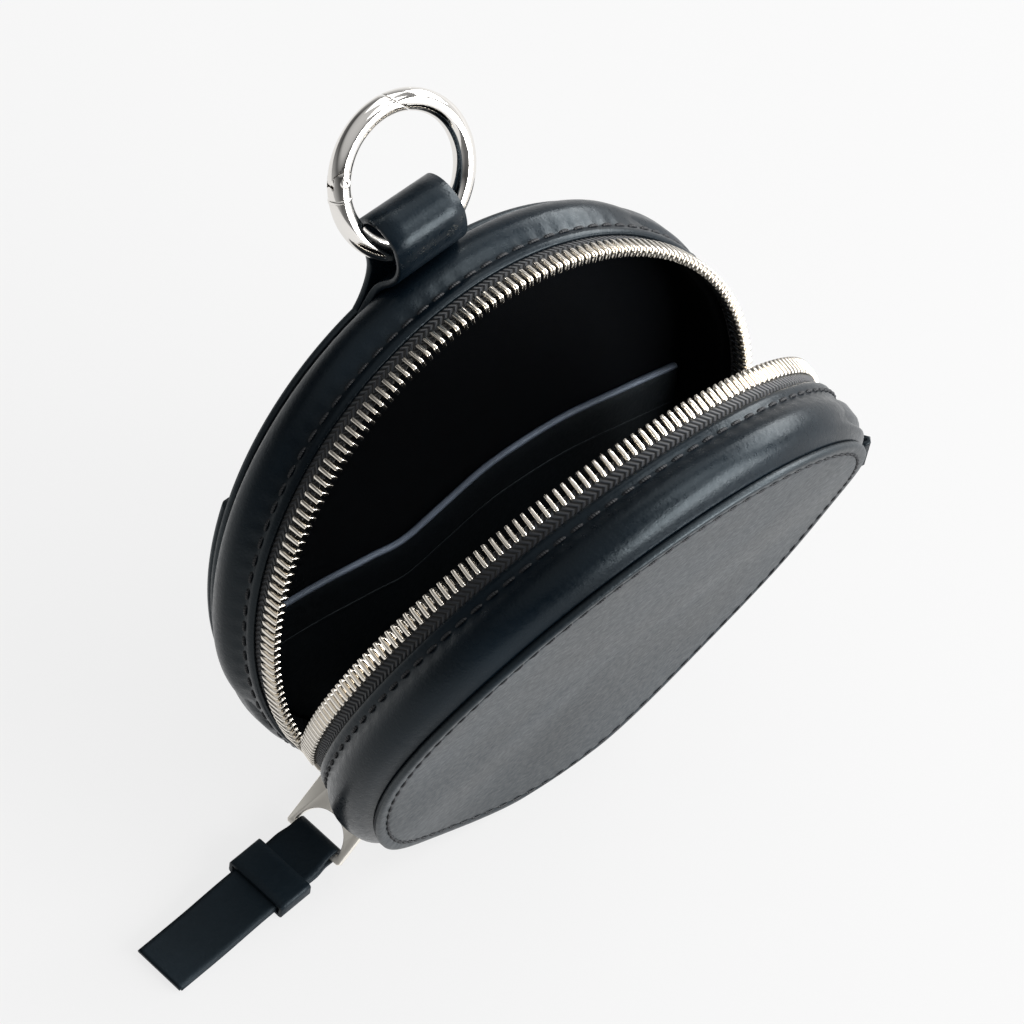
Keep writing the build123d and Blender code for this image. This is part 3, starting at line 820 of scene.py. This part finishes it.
def strap_leather():
    keys = [(40.6, 0.5), (30.0, 0.62), (20.0, 1.3), (12.0, 1.4), (7.5, 1.15), (3.5, 0.95), (0.6, 0.62)]
    for i in range(1, 6):
        a = math.radians(-80 - i * 200 / 6)
        keys.append((1.5 * math.cos(a), BAR_Z + 1.5 * math.sin(a)))
    keys += [(0.8, 3.52), (3.5, 3.1), (7.5, 2.5), (12.0, 2.35), (20.0, 2.3), (30.0, 1.6), (41.3, 1.42)]
    path = curve_through(keys, 120)
    def half_width(s):
        i = round(s * (len(path) - 1))
        return 5.2 + 0.55 * smooth((path[i][0] - 1.5) / 4.0)
    return ribbon("pull_strap_leather", path, strap_place, half_width, 0.85, STRAP_LEATHER)


def keeper_leather():
    """Band round both layers of the strap."""
    w, low, high, c = 6.75, 0.5, 3.3, 0.35
    keys = []
    corners = [(w, low, -90), (w, high, 0), (-w, high, 90), (-w, low, 180)]
    for t, z, a0 in corners:
        ct, cz = t - math.copysign(c, t), z + (c if z < 2 else -c)
        for k in range(5):
            a = math.radians(a0 + k * 22.5)
            keys.append((ct + c * math.cos(a), cz + c * math.sin(a)))
    near, far = 8.2, 16.2
    middle = (near + far) / 2
    return ribbon("strap_keeper_leather", keys, lambda t, up, s: strap_place(middle + s, up, t),
                  lambda s: (far - near) / 2, 0.85, STRAP_LEATHER, closed=True)


def tab_leather():
    """Folded tab at the zip's right end."""
    turn, rise = math.radians(-38.0), math.radians(12.0)
    root = Vector((54.2 + 6.0, 0.0, -25.5))

    def place(a, b, t):
        if a < 0:
            return mid_point(root.x + a, b, root.z + t)
        bend = smooth(a / 4.0)
        ang, up = turn * bend, rise * bend
        return mid_point(root.x + a * math.cos(ang) - b * math.sin(ang),
                         root.y + a * math.sin(ang) + b * math.cos(ang), root.z + t + a * math.sin(up))
    keys = [(-5.5, 0.72), (0.0, 0.72), (5.0, 0.75), (12.0, 0.75), (19.5, 0.72), (20.9, 0.4), (21.2, 0.0),
            (20.9, -0.4), (19.5, -0.72), (12.0, -0.75), (5.0, -0.75), (0.0, -0.72), (-5.5, -0.72)]
    path = curve_through(keys, 60)
    return ribbon("zip_end_tab_leather", path, place, lambda s: 4.0, 1.1, LEATHER)


# ---- pieces kept from the CAD, with softened edges -------------------------------------------
BEVEL_SEGMENTS, BEVEL_ANGLE_DEG = 2, 35


def softened(node, width, material):
    """Own copy of a CAD piece with small rounded edges, standing for it."""
    mesh = nodes[node].data.copy()
    mesh.materials.clear()
    bm = bmesh.new()
    bm.from_mesh(mesh)
    bmesh.ops.remove_doubles(bm, verts=bm.verts, dist=1e-6)
    bmesh.ops.dissolve_limit(bm, angle_limit=math.radians(1.0), verts=bm.verts, edges=bm.edges)
    bm.to_mesh(mesh)
    bm.free()
    obj = new_object(node + "_metal", mesh, material)
    mod = obj.modifiers.new("soft_edges", "BEVEL")
    mod.width = width * MM
    mod.segments = BEVEL_SEGMENTS
    mod.limit_method = "ANGLE"
    mod.angle_limit = math.radians(BEVEL_ANGLE_DEG)
    mod.harden_normals = True
    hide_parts(node)
    return obj


def paint(node, material):
    for slot in nodes[node].material_slots:
        slot.material = material
    if not nodes[node].material_slots:
        nodes[node].data.materials.append(material)


RING_CENTRE = Vector((-7.1, 41.13, 133.37))
RING_UP, RING_NORMAL = Vector((0, 0.5339, 0.8455)), Vector((0, 0.8455, -0.5339))
RING_R, WIRE_R, PIN_DEG, BAND_DEG = 13.6, 2.1, 157.0, 171.0


def ring_direction(deg):
    a = math.radians(deg)
    return Vector((math.cos(a), 0, 0)) + RING_UP * math.sin(a)


def rivet_head(name, facing):
    """Domed end of the gate's pin on one face of the ring, with a small hollow in its middle."""
    profile = [(0.0, 0.02), (0.22, 0.02), (0.34, 0.2), (0.6, 0.27), (0.85, 0.22), (1.0, 0.05), (1.05, -0.35)]
    out, centre = ring_direction(PIN_DEG), RING_CENTRE + ring_direction(PIN_DEG) * RING_R
    across = RING_NORMAL.cross(out)
    rows = []
    for i in range(24):
        a = 2 * math.pi * i / 24
        rows.append([centre + (out * math.cos(a) + across * math.sin(a)) * max(r, 0.01)
                     + RING_NORMAL * facing * (WIRE_R - 0.05 + h) for r, h in profile])
    return grid(name, rows, NICKEL, closed_u=True, uv=lambda i, j: (i * 0.2, j * 0.3))


def ring_band():
    """Narrow raised band round the wire, below the gate's pin."""
    profile = [(-0.35, -0.1), (-0.3, 0.08), (-0.15, 0.13), (0.15, 0.13), (0.3, 0.08), (0.35, -0.1)]
    rows = []
    for i in range(32):
        a = 2 * math.pi * i / 32
        row = []
        for along, h in profile:
            out = ring_direction(BAND_DEG + math.degrees(along / RING_R))
            spoke = out * math.cos(a) + RING_NORMAL * math.sin(a)
            row.append(RING_CENTRE + out * RING_R + spoke * (WIRE_R + h))
        rows.append(row)
    return grid("ring_band_metal", rows, NICKEL, closed_u=True, closed_v=True,
                uv=lambda i, j: (i * 0.4, j * 0.2))


# ---- build -----------------------------------------------------------------------------------
back_wall = gusset_leather(1, "back_gusset_leather", 3)
front_wall = gusset_leather(-1, "front_gusset_leather", 8)
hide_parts("back_gusset")
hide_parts("front_gusset")
for wall, side, body in ((back_wall, 1, "back_half"), (front_wall, -1, "front_half")):
    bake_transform(wall)

for side, body in ((1, "back"), (-1, "front")):
    skin = close_middle(panel_leather(side, body + "_panel_leather", seed=4 + side))
    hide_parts(body + "_panel")
    paint(body + "_board", CARD)
    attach(skin, body + "_half")
    stitches = gusset_stitches(side, body + "_gusset_stitches")
    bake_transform(stitches)
    cup = lining_cup(side, body + "_lining_cloth", 20 + side)
    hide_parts(body + "_lining")
    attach(cup, body + "_half")
    strip = tape_strip(half_place(side), ROW_LEFT, ROW_RIGHT, body + "_tape_weave",
                       TAPE_START_Y, TAPE_END_Y)
    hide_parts(body + "_zip_tape")
    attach(strip, body + "_half")
    row = teeth(half_place(side), row_degrees(ROW_LEFT, ROW_RIGHT + 1.2, side < 0), body + "_teeth_metal")
    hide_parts(body + "_zip_teeth")
    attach(row, body + "_half")
    stop = softened(body + "_top_stop", 0.2, SATIN)
    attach(stop, body + "_half")

front_seam = panel_stitches(-1, "front_panel_stitches")
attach(front_seam, "front_half")

loop = hanging_loop()
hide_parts("hanging_loop")
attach(loop, "back_half")

pocket = inner_pocket()
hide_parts("back_inner_pocket")
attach(pocket, "back_half")
for name, drop, width, over, material in (("pocket_painted_edge", -0.1, 0.8, 1.0, POCKET_EDGE_PAINT),
                                          ("pocket_seam_ridge", 9.0, 0.5, 0.0, POCKET_LEATHER)):
    band = pocket_band(name, drop, width, over, material)
    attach(band, "back_half")
outside = outer_pocket()
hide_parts("back_outer_pocket")
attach(outside, "back_half")
start = OUTER_POCKET_START
for name, y, radius, sweep, facing in (
        ("outer_pocket_stitches", 21.85, OUTER_POCKET_R * OUTER_POCKET_SEAM, (183 - start, 357 + start), 1),
        ("back_panel_stitches", PANEL_OUT_Y, PANEL_R - PANEL_STITCH_INSET, (start + 1, 179 - start), 1),
        ("back_flange_stitches", PANEL_IN_Y, 56.95, (-40, 225), -1)):
    row = panel_stitches(1, name, y, radius, sweep, facing)
    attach(row, "back_half")
paint("base_gusset", LEATHER)

for side, word in ((1, "back"), (-1, "front")):
    strip = tape_strip(lambda r, deg, y, s=side: mid_place(r, deg, s * y), LOWER_ROW_HIGH, LOWER_ROW_LOW,
                       "lower_tape_" + word, TAPE_START_Y, LOWER_TAPE_END_Y)
    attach(strip, "base")
    row = teeth(mid_place, row_degrees(LOWER_ROW_HIGH, LOWER_ROW_LOW, side < 0),
                "lower_teeth_" + word, sign=side)
    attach(row, "base")
    if side > 0:
        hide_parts("lower_zip_tape")
        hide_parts("lower_zip_teeth")
tab = tab_leather()
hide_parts("zip_end_tab")
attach(tab, "base")
stop = softened("zip_bottom_stop", 0.2, SATIN)
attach(stop, "base")

for node, width, material, body in (
        ("ring_body", 0.12, NICKEL, "ring"),
        ("ring_gate", 0.12, NICKEL, "gate"),
        ("slider_body", 0.18, SATIN, "slider"),
        ("slider_bridge", 0.25, SATIN, "slider"),
        ("pull_plate", 0.3, PALE, "pull")):
    piece = softened(node, width, material)
    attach(piece, body)
for piece in (rivet_head("rivet_head_near", -1), rivet_head("rivet_head_far", 1), ring_band()):
    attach(piece, "ring")
paint("ring_gate_pin", NICKEL)
paint("ring_gate_spring", SATIN)

strap = strap_leather()
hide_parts("pull_strap")
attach(strap, "strap")
keeper = keeper_leather()
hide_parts("strap_keeper")
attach(keeper, "strap")


# ---- floor, light and camera -----------------------------------------------------------------
floor_mesh = bpy.data.meshes.new("floor")
FLOOR_HALF = 3.0               # metres
floor_corners = [(x * FLOOR_HALF, y * FLOOR_HALF, 0) for x, y in ((-1, -1), (1, -1), (1, 1), (-1, 1))]
floor_mesh.from_pydata(floor_corners, [], [(0, 1, 2, 3)])
floor_material, floor_nt, floor_shader = base_material("pale_floor", (0.09, 0.09, 0.09), 0.8, specular=0.03)
floor_shader.inputs["Emission Color"].default_value = (1, 1, 1, 1)
floor_shader.inputs["Emission Strength"].default_value = 0.78
floor_grain = texture(floor_nt, "ShaderNodeTexNoise", coordinates(floor_nt), Scale=60.0, Detail=2.0)
bump(floor_nt, floor_shader, floor_grain.outputs[0], 0.00002)
new_object("floor", floor_mesh, floor_material)


def area_light(name, place, target, size, power):
    data = bpy.data.lights.new(name, "AREA")
    data.shape = "RECTANGLE"
    data.size, data.size_y = size
    data.energy = power
    obj = bpy.data.objects.new(name, data)
    obj.location = place
    direction = Vector(target) - Vector(place)
    obj.rotation_mode = "QUATERNION"
    obj.rotation_quaternion = direction.to_track_quat("-Z", "Y")
    bpy.context.scene.collection.objects.link(obj)
    return obj


area_light("right", (1.6, 0.0, 0.75), (0, 0, 0.06), (1.5, 0.75), 40.0)
area_light("front_right", (0.75, -1.45, 0.5), (0, 0, 0.06), (1.4, 1.0), 55.0)
area_light("key", (0.75, -0.65, 1.5), (0, 0, 0.03), (0.8, 0.8), 10.0)
area_light("back_right", (0.75, 0.62, 1.4), (0, 0, 0.03), (1.1, 1.1), 6.0)
bpy.context.scene.view_settings.view_transform = "Standard"

world = bpy.data.worlds.new("studio")
bpy.context.scene.world = world
world.use_nodes = True
wnt = world.node_tree
split = wnt.nodes.new("ShaderNodeSeparateXYZ")
wnt.links.new(coordinates(wnt, "Generated"), split.inputs[0])
height = maths(wnt, "MULTIPLY_ADD", split.outputs[2], 0.5, 0.5)
across = maths(wnt, "MULTIPLY_ADD", split.outputs[0], 0.5, 0.5)
sky = ramp(wnt, height, [(0.0, 0.8), (0.5, 0.8), (0.62, 0.6), (0.75, 0.25), (0.85, 0.0)])
overhead = ramp(wnt, height, [(0.76, 0.0), (0.88, 0.42), (1.0, 0.5)])
sides = ramp(wnt, across, [(0.0, 0.5), (0.25, 0.18), (0.5, 0.18), (0.8, 0.75), (1.0, 1.0)])
wnt.links.new(maths(wnt, "MULTIPLY_ADD", sky, sides, overhead), wnt.nodes["Background"].inputs[0])
wnt.nodes["Background"].inputs[1].default_value = 1.2

cam_data = bpy.data.cameras.new("camera")
cam_data.sensor_width = 36.0
cam_data.lens = 163.46
cam_data.clip_start, cam_data.clip_end = 0.05, 20.0
cam = bpy.data.objects.new("camera", cam_data)
right = Vector((0.7579, -0.6436, 0.1062))
up = Vector((0.4889, 0.6683, 0.5607))
forward = Vector((0.4318, 0.3730, -0.8212))
turn = Matrix((right, up, -forward)).transposed().to_4x4()
cam.matrix_world = Matrix.Translation((-0.37475, -0.3161, 0.77391)) @ turn
bpy.context.scene.collection.objects.link(cam)
bpy.context.scene.camera = cam
